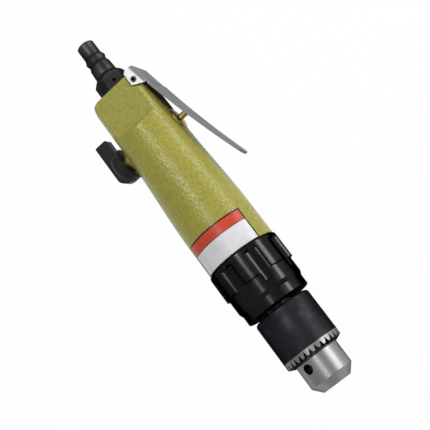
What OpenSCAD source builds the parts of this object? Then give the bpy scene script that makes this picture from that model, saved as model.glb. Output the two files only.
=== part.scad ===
// Straight air drill with a throttle lever, a reverse knob and a keyed three-jaw chuck.
// The spindle axis is X, with the chuck mouth at the origin and the nose towards +X.
// The throttle lever is towards +Y and the reverse knob towards -Y. A station is a distance behind the mouth.

/* [Chuck] */
// Length of the chuck, from its mouth to the back of its sleeve
chuck_len = 51.5; // [49:0.5:58]
// Radius of the sleeve
sleeve_r = 18; // [17.5:0.1:20]
// Wall of the sleeve round the jaws
sleeve_wall = 1.2; // [1:0.1:1.6]
// Rounding of the sleeve's back edge
sleeve_round = 2; // [0.5:0.1:3]
// Radius of the chuck body ahead of the sleeve
chuck_body_r = 13.6; // [13.2:0.1:14]
// Radius of the nose at the mouth
nose_r = 9; // [8.6:0.1:11]
// Length of the nose cone
nose_len = 5.2; // [3:0.1:8]
// Radius of the thickest shank that the jaws take
shank_r = 5; // [4.7:0.1:5.1]
// Radius of a jaw
jaw_r = 3; // [2.8:0.05:3.1]
// Free length behind the jaws, inside the sleeve
jaw_room = 4.5; // [3.5:0.5:6.5]
// Angle between a jaw and the chuck axis
jaw_angle = 14; // [13:0.5:15]
// Length of the jaws' gripping faces
grip_len = 14; // [13:0.5:15]
// Distance that a jaw closes towards the axis
jaw_close = 3.5; // [3:0.1:3.5]
// Station of the key gear's rim
key_gear_st = 20.9; // [20.5:0.1:22]
// Depth of the key gear's face, from its rim to its hub
key_gear_dish = 1.7; // [1:0.1:2.2]
// Number of teeth on the key gear
key_teeth = 31; // [27:1:33]
// Length of a key gear tooth along the chuck
key_tooth_len = 3.2; // [2.5:0.1:3.6]
// Width of the gap between two key gear teeth at the rim
key_gap_w = 2.2; // [1.6:0.1:2.5]
// Station of the key holes
key_hole_st = 15; // [13.5:0.1:15.5]
// Radius of a key hole
key_hole_r = 3; // [2.5:0.1:3.2]
// Depth of a key hole
key_hole_depth = 6.5; // [4:0.1:7]
// Angle of the first key hole, from +Z towards +Y
key_hole_angle = -22; // [-60:1:60]
// Length of the nut that drives the jaws
nut_len = 5.5; // [4:0.1:6]

/* [Gear housing] */
// Gap between the chuck and the gear housing
chuck_gap = 2; // [1.2:0.1:4]
// Length of the gear housing
collar_len = 35; // [34:0.5:42]
// Radius of the plain ring at the front
collar_front_r = 20.4; // [19.8:0.1:21]
// Length of the plain front ring
collar_front_len = 5.9; // [4:0.1:7]
// Radius of the middle ring
collar_mid_r = 21.5; // [21.2:0.1:22]
// Length of the chamfer between the front and middle rings
collar_chamfer = 2.6; // [1:0.1:3.5]
// Radius of the grip lands
land_r = 22.9; // [22.6:0.1:24]
// Station of the grip lands' front edge, behind the front face
land_start = 17.4; // [16:0.1:20]
// Rounding of the gear housing's back edge
collar_round = 1.6; // [0.5:0.1:2]
// Number of grip flutes
flute_count = 8; // [8:1:12]
// Radius of the cutter that makes a flute
flute_r = 8.5; // [7:0.1:9]
// Depth of a flute below the lands
flute_depth = 2; // [1.5:0.1:2.4]
// Distance from the front face to the flutes' front ends
flute_start = 10.6; // [9.5:0.1:13]
// Rim left behind the flutes
flute_rim = 1.7; // [1.2:0.1:3]
// Length over which a flute runs out at its ends
flute_runout = 2.2; // [1.5:0.1:5]
// Angle of the first grip land, from +Z towards +Y
land_angle = 8; // [0:1:36]

/* [Handle] */
// Length of the handle
handle_len = 123.5; // [123:0.5:132]
// Radius of the handle behind the gear housing
handle_front_r = 22; // [21.6:0.1:22.3]
// Radius of the grip
grip_r = 19.6; // [19.4:0.1:20.4]
// Length of the full-size front part
handle_full_len = 21.5; // [15:0.5:26]
// Length of the taper from the front part to the grip
handle_taper_len = 65; // [50:0.5:68]
// Rounding of the lower back corner
corner_r = 10.5; // [6:0.5:12]
// Half the width across the side flats
flat_half_w = 13.4; // [13:0.1:15.6]
// Length of the side flats
flat_len = 26.5; // [24:0.5:32]
// Length of the slope at the front of the side flats
flat_slope_len = 3; // [2:0.5:7]
// Rounding of the handle's back edge
handle_back_round = 1.2; // [0.5:0.1:2]
// Length of the spigot that carries the gear housing
spigot_len = 11.5; // [8:0.5:12]
// Wall of the spigot round the motor
spigot_wall = 2.6; // [2:0.1:2.8]

/* [Lever] */
// Distance of the pin ahead of the handle's back face
pin_from_back = 4.4; // [4:0.1:6]
// Height of the pin above the axis
pin_y = 14.9; // [14.4:0.1:15]
// Radius of the pin
pin_r = 1.8; // [1.4:0.1:1.9]
// Thickness of the lever's sheet
lever_t = 1.5; // [1.3:0.1:2]
// Outer radius of the folds between the lever's plate and its ears
lever_fold_r = 2.3; // [2.1:0.1:3]
// Half the width of the lever across its ears
lever_half_w = 12; // [10.5:0.1:12.2]
// Distance from the pin to the lever's back edge
lever_back = 7.6; // [6.8:0.1:8]
// Distance from the pin to the lever's tip
lever_reach = 75; // [68:0.5:80]
// Height of the lever's outer face above the pin, at its back edge
lever_rise = 3.8; // [3.5:0.1:4.1]
// Slope of the lever at its back edge
lever_slope = 10.2; // [10:0.1:12]
// Radius of the lever's upward bend
lever_bend_r = 650; // [500:10:900]
// Half the width of the lever's tip
lever_tip_half_w = 4.8; // [4:0.1:6]
// Depth of the ears below the pin
ear_drop = 3.1; // [2.6:0.1:3.2]
// Length of the ears' lower edge ahead of the pin
ear_front = 2.1; // [1.8:0.1:3]
// Length of the ears' upper edge ahead of the pin
ear_front_top = 8; // [7:0.1:9]

/* [Throttle valve] */
// Distance of the valve ahead of the handle's back face
valve_from_back = 37; // [36:0.5:44]
// Radius of the bush's flange
bush_flange_r = 6.65; // [6.2:0.05:7]
// Thickness of the bush's flange at its rim
bush_rim_t = 0.9; // [0.5:0.1:1]
// Height of the dome on the bush's flange
bush_dome_h = 0.9; // [0.4:0.1:1]
// Depth of the flat that the bush sits on, below the grip's crown
bush_seat_depth = 0.7; // [0.4:0.1:1.2]
// Radius of the bush's body
bush_r = 5; // [4.6:0.1:5.4]
// Length of the bush's body in the handle
bush_len = 9; // [8:0.1:10]
// Radius of the valve stem
stem_r = 1.95; // [1.6:0.05:2.1]
// Radius of the valve stem's head
stem_head_r = 3.9; // [3.6:0.1:4.2]
// Thickness of the valve stem's head
stem_head_t = 2; // [1.5:0.1:2.2]
// Depth of the valve chamber below the axis
chamber_drop = 4; // [3:0.1:4.5]
// Radius of the valve spring at the middle of its wire
spring_r = 3; // [2.6:0.1:3.2]
// Radius of the spring's wire
spring_wire_r = 0.4; // [0.3:0.05:0.45]
// Number of curls in the spring
spring_turns = 5; // [3:1:5]

/* [Reverse valve] */
// Radius of the knob's hub
knob_hub_r = 10.6; // [9.5:0.1:12]
// Height of the knob's hub
knob_hub_h = 8.2; // [7.6:0.1:9]
// Rounding of the hub's lower edge
knob_hub_round = 4; // [2:0.1:5.5]
// Gap between the handle and the knob
knob_gap = 1.5; // [1.2:0.1:2.4]
// Height of the knob, from its hub's upper face to the finger bar's lower edge
knob_h = 12.1; // [11.5:0.1:14]
// Distance from the knob's axis to the end of its finger bar
knob_reach = 20; // [17:0.5:24]
// Width of the finger bar
knob_bar_w = 6.8; // [6.4:0.1:9]
// Height of the step between the hub's upper face and the finger bar
knob_step = 3.1; // [2:0.1:4]
// Rounding of the finger bar's lower front corner
knob_front_round = 7; // [5:0.1:8]
// Rounding of the finger bar's other edges
knob_bar_round = 1.2; // [0.6:0.1:1.8]
// Radius of the reverse spool
spool_r = 6; // [5.5:0.1:6.4]
// Wall of the reverse bush
reverse_bush_wall = 1.5; // [1.2:0.1:2]
// Radius of the spool's neck in the knob
spool_neck_r = 3.5; // [3:0.1:4]
// Radius of the knob screw's head
knob_screw_r = 2.2; // [2:0.1:2.4]

/* [Inlet] */
// Width of the plug's hexagon across its flats
hex_af = 19; // [17:0.5:20]
// Length of the plug's hexagon
hex_len = 10; // [8:0.5:12]
// Length of the cone behind the hexagon
hex_cone_len = 4; // [3:0.1:5]
// Radius of the plug's shank behind the cone
plug_shank_r = 7.2; // [6.6:0.1:7.6]
// Length of the plug's shank
plug_shank_len = 7.2; // [6:0.1:9]
// Radius of the plug's locking groove
plug_groove_r = 5.8; // [5.4:0.1:6]
// Radius of the plug's locking ridge
plug_ridge_r = 6.7; // [6.5:0.1:7]
// Length of the groove and of the ridge's slopes
plug_ridge_len = 2.6; // [2:0.1:3]
// Radius of the plug's nose
plug_nose_r = 5.6; // [5.2:0.1:5.7]
// Length of the plug's nose
plug_nose_len = 9; // [7:0.1:12]
// Radius of the air way through the plug
air_way_r = 3.4; // [2.6:0.1:3.8]
// Radius of the plug's thread in the handle
plug_thread_r = 6.5; // [6:0.1:6.6]
// Length of the plug's thread
plug_thread_len = 11; // [9:0.5:12]

/* [Gear train] */
// Tooth size of the gears: pitch diameter over number of teeth
gear_module = 0.6; // [0.58:0.01:0.62]
// Length of the gear teeth
gear_len = 6; // [5.5:0.1:6.4]
// Radius of a planet pin
planet_pin_r = 1.9; // [1.6:0.1:2]
// Outer radius of the ring gear
ring_r = 16.5; // [16:0.1:16.6]
// Thickness of the carrier's flange
carrier_t = 3.4; // [2.8:0.1:3.6]

/* [Spindle] */
// Radius of the spindle in its bearings
spindle_r = 7.5; // [7:0.1:7.8]
// Radius of the spindle's nose in the chuck
spindle_nose_r = 4.7; // [4.3:0.1:4.9]
// Length of the spindle's nose in the chuck
spindle_nose_len = 14; // [11:0.5:15]
// Thickness of the gear housing's front wall
front_wall = 3.3; // [2.6:0.1:3.6]
// Outer radius of the spindle bearings
bearing_r = 14; // [13.6:0.1:14.4]
// Width of a spindle bearing
bearing_w = 6; // [5.6:0.1:6.2]
// Radius of the balls in the spindle bearings
ball_r = 1.9; // [1.6:0.1:2]
// Number of balls in a spindle bearing
ball_count = 12; // [8:1:13]
// Length of the spacer between the spindle bearings
spacer_len = 2.5; // [2:0.1:3]

/* [Motor] */
// Outer radius of the motor's cylinder and end plates
motor_r = 16.9; // [16.8:0.05:17.1]
// Length of the cylinder
cylinder_len = 42; // [38:0.5:42]
// Radius of the cylinder's bore
cylinder_bore_r = 12.6; // [12.4:0.1:12.8]
// Offset of the cylinder's bore from the axis
cylinder_offset = 1.9; // [1.6:0.1:1.9]
// Radius of the rotor
rotor_r = 10.5; // [10:0.1:10.5]
// Number of vanes
vane_count = 5; // [4:1:6]
// Thickness of a vane
vane_t = 1.8; // [1.4:0.1:2]
// Height of a vane
vane_h = 4.8; // [4:0.1:5]
// Thickness of the motor's end plates
plate_t = 7; // [6.6:0.1:7.4]
// Radius of the rotor's journals
journal_r = 4.5; // [4.4:0.05:4.7]
// Outer radius of the rotor bearings
rotor_bearing_r = 8.5; // [8.4:0.1:9]
// Width of a rotor bearing
rotor_bearing_w = 5; // [4.6:0.1:5.2]
// Radius of the balls in the rotor bearings
rotor_ball_r = 1.2; // [1:0.05:1.25]
// Number of balls in a rotor bearing
rotor_ball_count = 9; // [7:1:11]

/* [Hidden] */
$fn = 72;
// Facets round the lever's long bend
bend_facets = 900;
// Overrun of every cut past the face that it opens
over = 1;
// Radial clearance of a running fit
run_fit = 0.05;
// Clearance between pieces that are seated in each other
seat_fit = 0.02;
// Free gap between pieces that pass each other
pass_gap = 0.3;
// Gap at the end of something that turns
end_gap = 0.1;
// Edge break on small turned pieces
edge = 0.5;
// Steps in a quarter round
round_steps = 5;
// Steps along the handle's taper
taper_steps = 14;

// Chuck: stations and radii that follow from the sizes above
jaws = 3;
wedge_angle = 60;
jaw_gap = 0.25;
thread_gap = 0.15;
key_lip = 2.3;
key_land = 1;
sleeve_lip = 7;
back_recess = 0.3;
chuck_web = 5;
chuck_screw_head_r = 4.2;
chuck_screw_head_len = 3;
chuck_screw_r = 2.4;
chuck_screw_len = 15;
sleeve_bore_r = sleeve_r - sleeve_wall;
jaw_rear_r = sleeve_bore_r - pass_gap;
jaw_half = jaw_r / cos(jaw_angle);
jaw_len = chuck_len - sleeve_lip - jaw_room;
chuck_cavity_r = shank_r + pass_gap;
chuck_back = chuck_len - back_recess;
spindle_hole_st = chuck_back - spindle_nose_len - pass_gap;
cavity_end = spindle_hole_st - chuck_web;
key_hub_st = key_gear_st - key_gear_dish;
nut_st = key_gear_st + key_lip;
nut_end = nut_st + nut_len;
jaw_apex = jaw_close + jaw_gap;
jaw_phase = key_hole_angle + 180 / jaws;
function jaw_axis_r(st) = shank_r + jaw_half + (st - grip_len) * tan(jaw_angle);
function nut_bore_r(st) = jaw_axis_r(st) + jaw_half + thread_gap;

// Stations of the gear housing, the gears and the motor, from the front backwards
ring_tail = 1.6;
carrier_gap = 0.5;
gear_gap = 0.4;
shaft_gap = 0.8;
motor_fit = 0.05;
bearing_inset = 1.5;
collar_st = chuck_len + chuck_gap;
collar_end = collar_st + collar_len;
bearing_st = collar_st + front_wall;
rear_bearing_st = bearing_st + bearing_w + spacer_len;
ring_st = rear_bearing_st + bearing_w;
carrier_st = ring_st + carrier_gap;
gear_st = carrier_st + carrier_t + gear_gap;
ring_end = gear_st + gear_len + ring_tail;
cylinder_st = ring_end + plate_t;
cylinder_end = cylinder_st + cylinder_len;
motor_end = cylinder_end + plate_t;
front_race_st = ring_end + bearing_inset;
rear_race_st = motor_end - bearing_inset - rotor_bearing_w;
motor_bore_r = motor_r + motor_fit;
spigot_r = motor_bore_r + spigot_wall;
spigot_st = collar_end - spigot_len;
collar_bore_r = spigot_r + motor_fit;

// Gears: teeth and radii
sun_teeth = 12;
planet_teeth = 15;
planets = 3;
pressure_angle = 25;
addendum_share = 0.9;
ring_addendum_share = 0.8;
dedendum_share = 1.2;
backlash = 0.07;
flank_steps = 5;
carrier_margin = 2.2;
ring_teeth = sun_teeth + 2 * planet_teeth;
planet_circle_r = gear_module * (sun_teeth + planet_teeth) / 2;
carrier_r = planet_circle_r + planet_pin_r + carrier_margin;
ring_root_r = gear_module * (ring_teeth / 2 + dedendum_share);
function pitch_r(teeth) = gear_module * teeth / 2;
function involute(angle) = tan(angle) * 180 / PI - angle;
// Half the angle that a tooth takes up at a radius; play widens a gap and narrows a tooth
function half_tooth(teeth, r, play) = 90 / teeth + play / pitch_r(teeth) * 180 / PI
    + involute(pressure_angle) - involute(acos(min(1, pitch_r(teeth) * cos(pressure_angle) / r)));
// One side of a tooth, from its root out to its tip
function flank(teeth, low_r, high_r, play) = let (base_r = max(low_r, pitch_r(teeth) * cos(pressure_angle)))
    [for (i = [0:flank_steps]) let (r = base_r + (high_r - base_r) * i / flank_steps)
        [r, half_tooth(teeth, r, play)]];
function polar(r, angle) = [r * cos(angle), r * sin(angle)];
function gear_outline(teeth, low_r, high_r, play) = let (curve = flank(teeth, low_r, high_r, play),
    side = curve[0][0] > low_r ? concat([[low_r, curve[0][1]]], curve) : curve)
    [for (k = [0:teeth - 1]) let (mid = 360 * k / teeth)
        each concat([for (p = side) polar(p[0], mid - p[1])],
            [for (i = [len(side) - 1:-1:0]) polar(side[i][0], mid + side[i][1])])];

// Handle, lever and valves
web_gap = 0.7;
web_top_rise = 0.2;
ear_gap = 0.6;
pocket_gap = 1;
ear_corner = 1.4;
relief_flat_len = 9;
pin_end = 0.6;
pin_hole_share = 0.55;
link_r = 2;
port_r = 2;
port_y = 12;
port_z = 3.6;
stem_gap = 0.2;
seal_t = 1;
seal_gap = 0.3;
chamber_gap = 0.8;
valve_floor = 1.8;
bush_groove = 0.8;
bush_groove_w = 1.4;
bush_groove_depth = 2.5;
bush_dome_share = 0.45;
handle_st = collar_end;
handle_end = handle_st + handle_len;
pin_x = -(handle_end - pin_from_back);
valve_x = -(handle_end - valve_from_back);
lever_heel = [pin_x - lever_back, pin_y + lever_rise];
lever_centre = lever_heel + lever_bend_r * [-sin(lever_slope), cos(lever_slope)];
function lever_face_y(x, r) = lever_centre[1] - sqrt(r * r - pow(x - lever_centre[0], 2));
web_half_w = lever_half_w - lever_t - web_gap;
web_top_y = pin_y + lever_rise - lever_t + web_top_rise;
ear_low_y = pin_y - ear_drop;
ear_high_y = lever_face_y(pin_x + ear_front_top, lever_bend_r);
pocket_floor_y = ear_low_y - ear_gap;
bush_seat_y = grip_r - bush_seat_depth;
bush_bottom_y = bush_seat_y - bush_len;
stem_top_y = lever_face_y(valve_x - stem_r, lever_bend_r + lever_t) - stem_gap;
head_top_y = bush_bottom_y - seal_gap - seal_t;
chamber_r = stem_head_r + chamber_gap;
reverse_bore_r = spool_r + run_fit + reverse_bush_wall;
reverse_top_y = -(chamber_drop + valve_floor);
reverse_low_y = -sqrt(grip_r * grip_r - reverse_bore_r * reverse_bore_r);
knob_y = -(grip_r + knob_gap);
spool_neck_len = 7;
knob_screw_len = 8;
knob_screw_shank_r = 1.3;
knob_screw_head_t = 1.8;
knob_screw_sink = 2.4;
screw_slot_share = 0.33;

// Inlet
inlet_gap = 0.4;
screen_t = 0.8;
screen_hole_r = 0.8;
screen_pitch = 2.4;
screen_holes = 6;
seal_ring_t = 1.2;
seal_ring_w = 2;
hex_hole_r = 1.2;
hex_hole_depth = 2.2;
hex_hole_angle = 27;
shank_taper = 0.4;
hex_corner_r = hex_af / 2 / cos(30);
plug_st = handle_end + hex_len + hex_cone_len;
plug_end = plug_st + plug_shank_len + 3 * plug_ridge_len + plug_nose_len;

// Bearings and small motor details
shoulder_share = 0.55;
slot_fit = 0.05;
vane_sink = 0.1;
vane_end_gap = 0.2;
dowel_r = 1.2;
dowel_circle_r = 14;
dowel_angle = 18;
dowel_inset = 2;
exhaust_r = 1.6;
exhaust_count = 4;

// Colours
olive = [0.53, 0.53, 0.2];
black = [0.07, 0.07, 0.075];
slate = [0.14, 0.15, 0.17];
steel = [0.72, 0.72, 0.7];
brass = [0.72, 0.55, 0.25];
grey = [0.45, 0.45, 0.46];
rubber = [0.1, 0.1, 0.1];

// A turned shape about the spindle axis, from [radius, station] points
module turned(points) {
    rotate([0, 90, 0]) rotate_extrude() polygon([for (p = points) [p[0], -p[1]]]);
}

// A round bar along the spindle axis between two stations
module rod(r, front, back) {
    translate([-back, 0, 0]) rotate([0, 90, 0]) cylinder(r = r, h = back - front);
}

// A round bar along Y through the valve axis, between two heights
module stud(r, low, high) {
    translate([valve_x, low, 0]) rotate([-90, 0, 0]) cylinder(r = r, h = high - low);
}

// A turned shape about the valve axis, from [radius, height] points
module turned_valve(points) {
    translate([valve_x, 0, 0]) rotate([-90, 0, 0]) rotate_extrude() polygon(points);
}

// Turns a piece about the spindle axis, by an angle from +Z towards +Y
module clocked(angle) {
    rotate([-angle, 0, 0]) children();
}

// A prism across the drill, from an outline in X and Y
module side_prism(points, low, high) {
    translate([0, 0, low]) linear_extrude(height = high - low) polygon(points);
}

// A quarter round from one angle to another, about a centre
function round_points(centre, r, from, to) =
    [for (i = [0:round_steps]) centre + r * [cos(from + (to - from) * i / round_steps),
        sin(from + (to - from) * i / round_steps)]];

// A bearing race with its ball groove
module race(inner_r, outer_r, circle_r, groove_r, front, width) {
    difference() {
        turned([[inner_r, front], [outer_r, front], [outer_r, front + width], [inner_r, front + width]]);
        translate([-front - width / 2, 0, 0]) rotate([0, 90, 0]) rotate_extrude()
            translate([circle_r, 0]) circle(r = groove_r);
    }
}

// A ring of bearing balls
module balls(r, circle_r, count, front, width) {
    for (i = [0:count - 1])
        clocked(360 * i / count) translate([-front - width / 2, 0, circle_r]) sphere(r = r);
}

// A straight gear on the spindle axis, as a prism between two stations
module gear_prism(teeth, low_r, high_r, play, front, back) {
    translate([-back, 0, 0]) rotate([0, 90, 0])
        linear_extrude(height = back - front) polygon(gear_outline(teeth, low_r, high_r, play));
}

// The inclined bar that a jaw is cut from, with some extra radius
module jaw_bar(extra, front, back) {
    translate([-front, 0, jaw_axis_r(front)]) rotate([0, jaw_angle - 90, 0])
        cylinder(r = jaw_r + extra, h = (back - front) / cos(jaw_angle));
}

module chuck_jaw(index) {
    wedge_h = sleeve_r;
    clocked(jaw_phase + 360 / jaws * index) intersection() {
        jaw_bar(0, -jaw_r, jaw_len + jaw_r);
        difference() {
            rod(jaw_rear_r, 0, jaw_len);
            rod(shank_r, -over, jaw_len + over);
        }
        translate([over, 0, 0]) rotate([0, -90, 0]) linear_extrude(height = jaw_len + 2 * over)
            polygon([[jaw_apex, 0], [jaw_apex + wedge_h, wedge_h * tan(wedge_angle)],
                [jaw_apex + wedge_h, -wedge_h * tan(wedge_angle)]]);
    }
}

module chuck_body() {
    color(steel) difference() {
        turned([[0, 0], [nose_r, 0], [chuck_body_r, nose_len], [chuck_body_r, chuck_back], [0, chuck_back]]);
        rod(chuck_cavity_r, -over, cavity_end);
        rod(chuck_screw_r + pass_gap, cavity_end - over, spindle_hole_st + over);
        rod(spindle_nose_r + seat_fit, spindle_hole_st, chuck_back + over);
        for (i = [0:jaws - 1]) {
            clocked(jaw_phase + 360 / jaws * i) jaw_bar(run_fit, -jaw_r, jaw_len + jaw_r + pass_gap);
            clocked(key_hole_angle + 360 / jaws * i)
                translate([-key_hole_st, 0, chuck_body_r - key_hole_depth])
                    cylinder(r = key_hole_r, h = key_hole_depth + over);
        }
    }
}

module chuck_sleeve() {
    bore_r = chuck_body_r + run_fit;
    lip_st = chuck_len - sleeve_lip;
    key_apex = key_gear_st + key_tooth_len;
    gap_slope = key_gap_w / 2 / key_tooth_len;
    key_front = key_hub_st - over;
    root_r = bore_r + key_land;
    color(slate) difference() {
        turned(concat([[bore_r, key_hub_st], [root_r, key_hub_st], [sleeve_r, key_gear_st]],
            round_points([sleeve_r - sleeve_round, chuck_len - sleeve_round], sleeve_round, 0, 90),
            [[bore_r, chuck_len], [bore_r, lip_st], [sleeve_bore_r, lip_st], [sleeve_bore_r, nut_st],
                [bore_r, nut_st]]));
        for (i = [0:key_teeth - 1])
            clocked(360 * i / key_teeth) translate([0, 0, root_r]) linear_extrude(height = sleeve_r)
                polygon([[-key_apex, 0], [-key_front, -gap_slope * (key_apex - key_front)],
                    [-key_front, gap_slope * (key_apex - key_front)]]);
    }
}

module chuck_nut() {
    color(steel) turned([[nut_bore_r(nut_st), nut_st], [sleeve_bore_r - seat_fit, nut_st],
        [sleeve_bore_r - seat_fit, nut_end], [nut_bore_r(nut_end), nut_end]]);
}

module chuck_screw() {
    head_st = cavity_end - chuck_screw_head_len;
    socket_r = chuck_screw_r / 2 / cos(30);
    color(black) difference() {
        union() {
            rod(chuck_screw_head_r, head_st, cavity_end);
            rod(chuck_screw_r, head_st, head_st + chuck_screw_len);
        }
        translate([-head_st - chuck_screw_head_len / 2, 0, 0]) rotate([0, 90, 0])
            cylinder(r = socket_r, h = chuck_screw_head_len, $fn = 6);
    }
}

module jaw_1() { color(steel) chuck_jaw(0); }
module jaw_2() { color(steel) chuck_jaw(1); }
module jaw_3() { color(steel) chuck_jaw(2); }

// Cutter of one grip flute, with a run-out at each end
module flute_cutter() {
    front = collar_st + flute_start;
    back = collar_end - flute_rim;
    end_r = flute_r - flute_depth - edge;
    translate([0, 0, land_r - flute_depth + flute_r])
        turned([[0, front], [end_r, front], [flute_r, front + flute_runout], [flute_r, back - flute_runout],
            [end_r, back], [0, back]]);
}

module gear_housing() {
    land_st = collar_st + land_start;
    front_end = collar_st + collar_front_len;
    wall_r = spindle_r + seal_ring_w;
    spigot_seat = spigot_st - motor_fit;
    color(black) difference() {
        turned(concat([[wall_r, collar_st], [collar_front_r - edge, collar_st],
            [collar_front_r, collar_st + edge], [collar_front_r, front_end],
            [collar_mid_r, front_end + collar_chamfer], [collar_mid_r, land_st], [land_r, land_st + edge]],
            round_points([land_r - collar_round, collar_end - collar_round], collar_round, 0, 90),
            [[collar_bore_r, collar_end], [collar_bore_r, spigot_seat], [ring_r + seat_fit, spigot_seat],
            [ring_r + seat_fit, ring_st], [bearing_r + seat_fit, ring_st], [bearing_r + seat_fit, bearing_st],
            [wall_r, bearing_st]]));
        for (i = [0:flute_count - 1])
            clocked(land_angle + 360 / flute_count * (i + 1 / 2)) flute_cutter();
    }
}

module spindle_seal() {
    front = collar_st + edge;
    color(rubber) turned([[spindle_r + run_fit, front], [spindle_r + seal_ring_w, front],
        [spindle_r + seal_ring_w, bearing_st], [spindle_r + run_fit, bearing_st]]);
}

ball_circle_r = (bearing_r + spindle_r) / 2;
rotor_ball_circle_r = (rotor_bearing_r + journal_r) / 2;

module spindle_outer_races() {
    color(steel) for (front = [bearing_st, rear_bearing_st])
        race(ball_circle_r + shoulder_share * ball_r, bearing_r, ball_circle_r, ball_r + run_fit, front,
            bearing_w);
}

module spindle_inner_races() {
    color(steel) for (front = [bearing_st, rear_bearing_st])
        race(spindle_r + seat_fit, ball_circle_r - shoulder_share * ball_r, ball_circle_r, ball_r + run_fit,
            front, bearing_w);
}

module spindle_balls() {
    color(steel) for (front = [bearing_st, rear_bearing_st])
        balls(ball_r, ball_circle_r, ball_count, front, bearing_w);
}

module bearing_spacer() {
    front = bearing_st + bearing_w;
    inner_r = ball_circle_r + shoulder_share * ball_r;
    color(grey) turned([[inner_r, front], [bearing_r, front], [bearing_r, rear_bearing_st],
        [inner_r, rear_bearing_st]]);
}

module ring_gear() {
    tip_r = pitch_r(ring_teeth) - ring_addendum_share * gear_module;
    color(grey) difference() {
        rod(ring_r, ring_st, ring_end);
        rod(ring_root_r + pass_gap, ring_st - over, gear_st - gear_gap / 2);
        gear_prism(ring_teeth, tip_r, ring_root_r, backlash, ring_st - over, ring_end + over);
    }
}

module planet_gear(index) {
    root_r = pitch_r(planet_teeth) - dedendum_share * gear_module;
    tip_r = pitch_r(planet_teeth) + addendum_share * gear_module;
    color(steel) rotate([360 / planets * index, 0, 0]) translate([0, 0, -planet_circle_r]) difference() {
        gear_prism(planet_teeth, root_r, tip_r, -backlash, gear_st, gear_st + gear_len);
        rod(planet_pin_r + run_fit, gear_st - over, gear_st + gear_len + over);
    }
}

module planet_gear_1() { planet_gear(0); }
module planet_gear_2() { planet_gear(1); }
module planet_gear_3() { planet_gear(2); }

// Bars on the planets' axes
module planet_bars(r, front, back) {
    for (i = [0:planets - 1])
        rotate([360 / planets * i, 0, 0]) translate([0, 0, -planet_circle_r]) rod(r, front, back);
}

module planet_pins() {
    color(steel) planet_bars(planet_pin_r, carrier_st, gear_st + gear_len + shaft_gap);
}

module spindle() {
    flange_end = carrier_st + carrier_t;
    shoulder_r = ball_circle_r - shoulder_share * ball_r;
    nose_st = chuck_back - spindle_nose_len;
    color(steel) difference() {
        turned([[0, nose_st], [spindle_nose_r, nose_st], [spindle_nose_r, chuck_back],
            [spindle_r, chuck_back], [spindle_r, ring_st], [shoulder_r, ring_st], [shoulder_r, carrier_st],
            [carrier_r, carrier_st], [carrier_r, flange_end], [0, flange_end]]);
        rod(chuck_screw_r + seat_fit, nose_st - over, cavity_end + chuck_screw_len + over);
        planet_bars(planet_pin_r + seat_fit, carrier_st - over, flange_end + over);
    }
}

// A motor end plate, with its bearing seat open towards the rotor
module motor_plate(front, seat_front, seat_back) {
    color(grey) difference() {
        rod(motor_r, front, front + plate_t);
        rod(journal_r + shaft_gap, front - over, front + plate_t + over);
        rod(rotor_bearing_r + seat_fit, seat_front, seat_back);
        dowel_bars(dowel_r + seat_fit);
    }
}

module motor_front_plate() { motor_plate(ring_end, front_race_st, cylinder_st + over); }
module motor_rear_plate() { motor_plate(cylinder_end, cylinder_end - over, rear_race_st + rotor_bearing_w); }

// The dowels that line up the plates and the cylinder
module dowel_bars(r) {
    for (side = [-1, 1])
        clocked(-90 + side * dowel_angle) translate([0, 0, dowel_circle_r])
            rod(r, ring_end + dowel_inset, motor_end - dowel_inset);
}

module cylinder_dowels() { color(steel) dowel_bars(dowel_r); }

module motor_cylinder() {
    color(steel) difference() {
        rod(motor_r, cylinder_st, cylinder_end);
        translate([0, cylinder_offset, 0]) rod(cylinder_bore_r, cylinder_st - over, cylinder_end + over);
        dowel_bars(dowel_r + seat_fit);
        for (i = [1:exhaust_count])
            translate([-cylinder_st - cylinder_len * i / (exhaust_count + 1), 0, 0]) rotate([-90, 0, 0])
                cylinder(r = exhaust_r, h = motor_r + over);
    }
}

// A bar of square section for each vane or its slot
module vane_bars(width, low_r, high_r, front, back) {
    for (i = [0:vane_count - 1])
        clocked(360 / vane_count * i) translate([-back, -width / 2, low_r])
            cube([back - front, width, high_r - low_r]);
}

module rotor() {
    front = cylinder_st + end_gap;
    back = cylinder_end - end_gap;
    slot_low_r = rotor_r - vane_sink - vane_h - slot_fit;
    sun_root_r = pitch_r(sun_teeth) - dedendum_share * gear_module;
    sun_tip_r = pitch_r(sun_teeth) + addendum_share * gear_module;
    color(grey) union() {
        difference() {
            rod(rotor_r, front, back);
            vane_bars(vane_t + 2 * slot_fit, slot_low_r, rotor_r + over, front - over, back + over);
        }
        rod(journal_r, front_race_st, rear_race_st + rotor_bearing_w);
        gear_prism(sun_teeth, sun_root_r, sun_tip_r, -backlash, gear_st + gear_gap / 2, front_race_st + over);
    }
}

module vanes() {
    color("saddlebrown") vane_bars(vane_t, rotor_r - vane_sink - vane_h, rotor_r - vane_sink,
        cylinder_st + vane_end_gap, cylinder_end - vane_end_gap);
}

module rotor_outer_races() {
    color(steel) for (front = [front_race_st, rear_race_st])
        race(rotor_ball_circle_r + shoulder_share * rotor_ball_r, rotor_bearing_r, rotor_ball_circle_r,
            rotor_ball_r + run_fit, front, rotor_bearing_w);
}

module rotor_inner_races() {
    color(steel) for (front = [front_race_st, rear_race_st])
        race(journal_r + seat_fit, rotor_ball_circle_r - shoulder_share * rotor_ball_r, rotor_ball_circle_r,
            rotor_ball_r + run_fit, front, rotor_bearing_w);
}

module rotor_balls() {
    color(steel) for (front = [front_race_st, rear_race_st])
        balls(rotor_ball_r, rotor_ball_circle_r, rotor_ball_count, front, rotor_bearing_w);
}

// Radius of the handle at a share of its taper, from 0 at the grip to 1 at the front
function taper_r(share) = grip_r + (handle_front_r - grip_r) * share * share * (3 - 2 * share);

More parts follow.
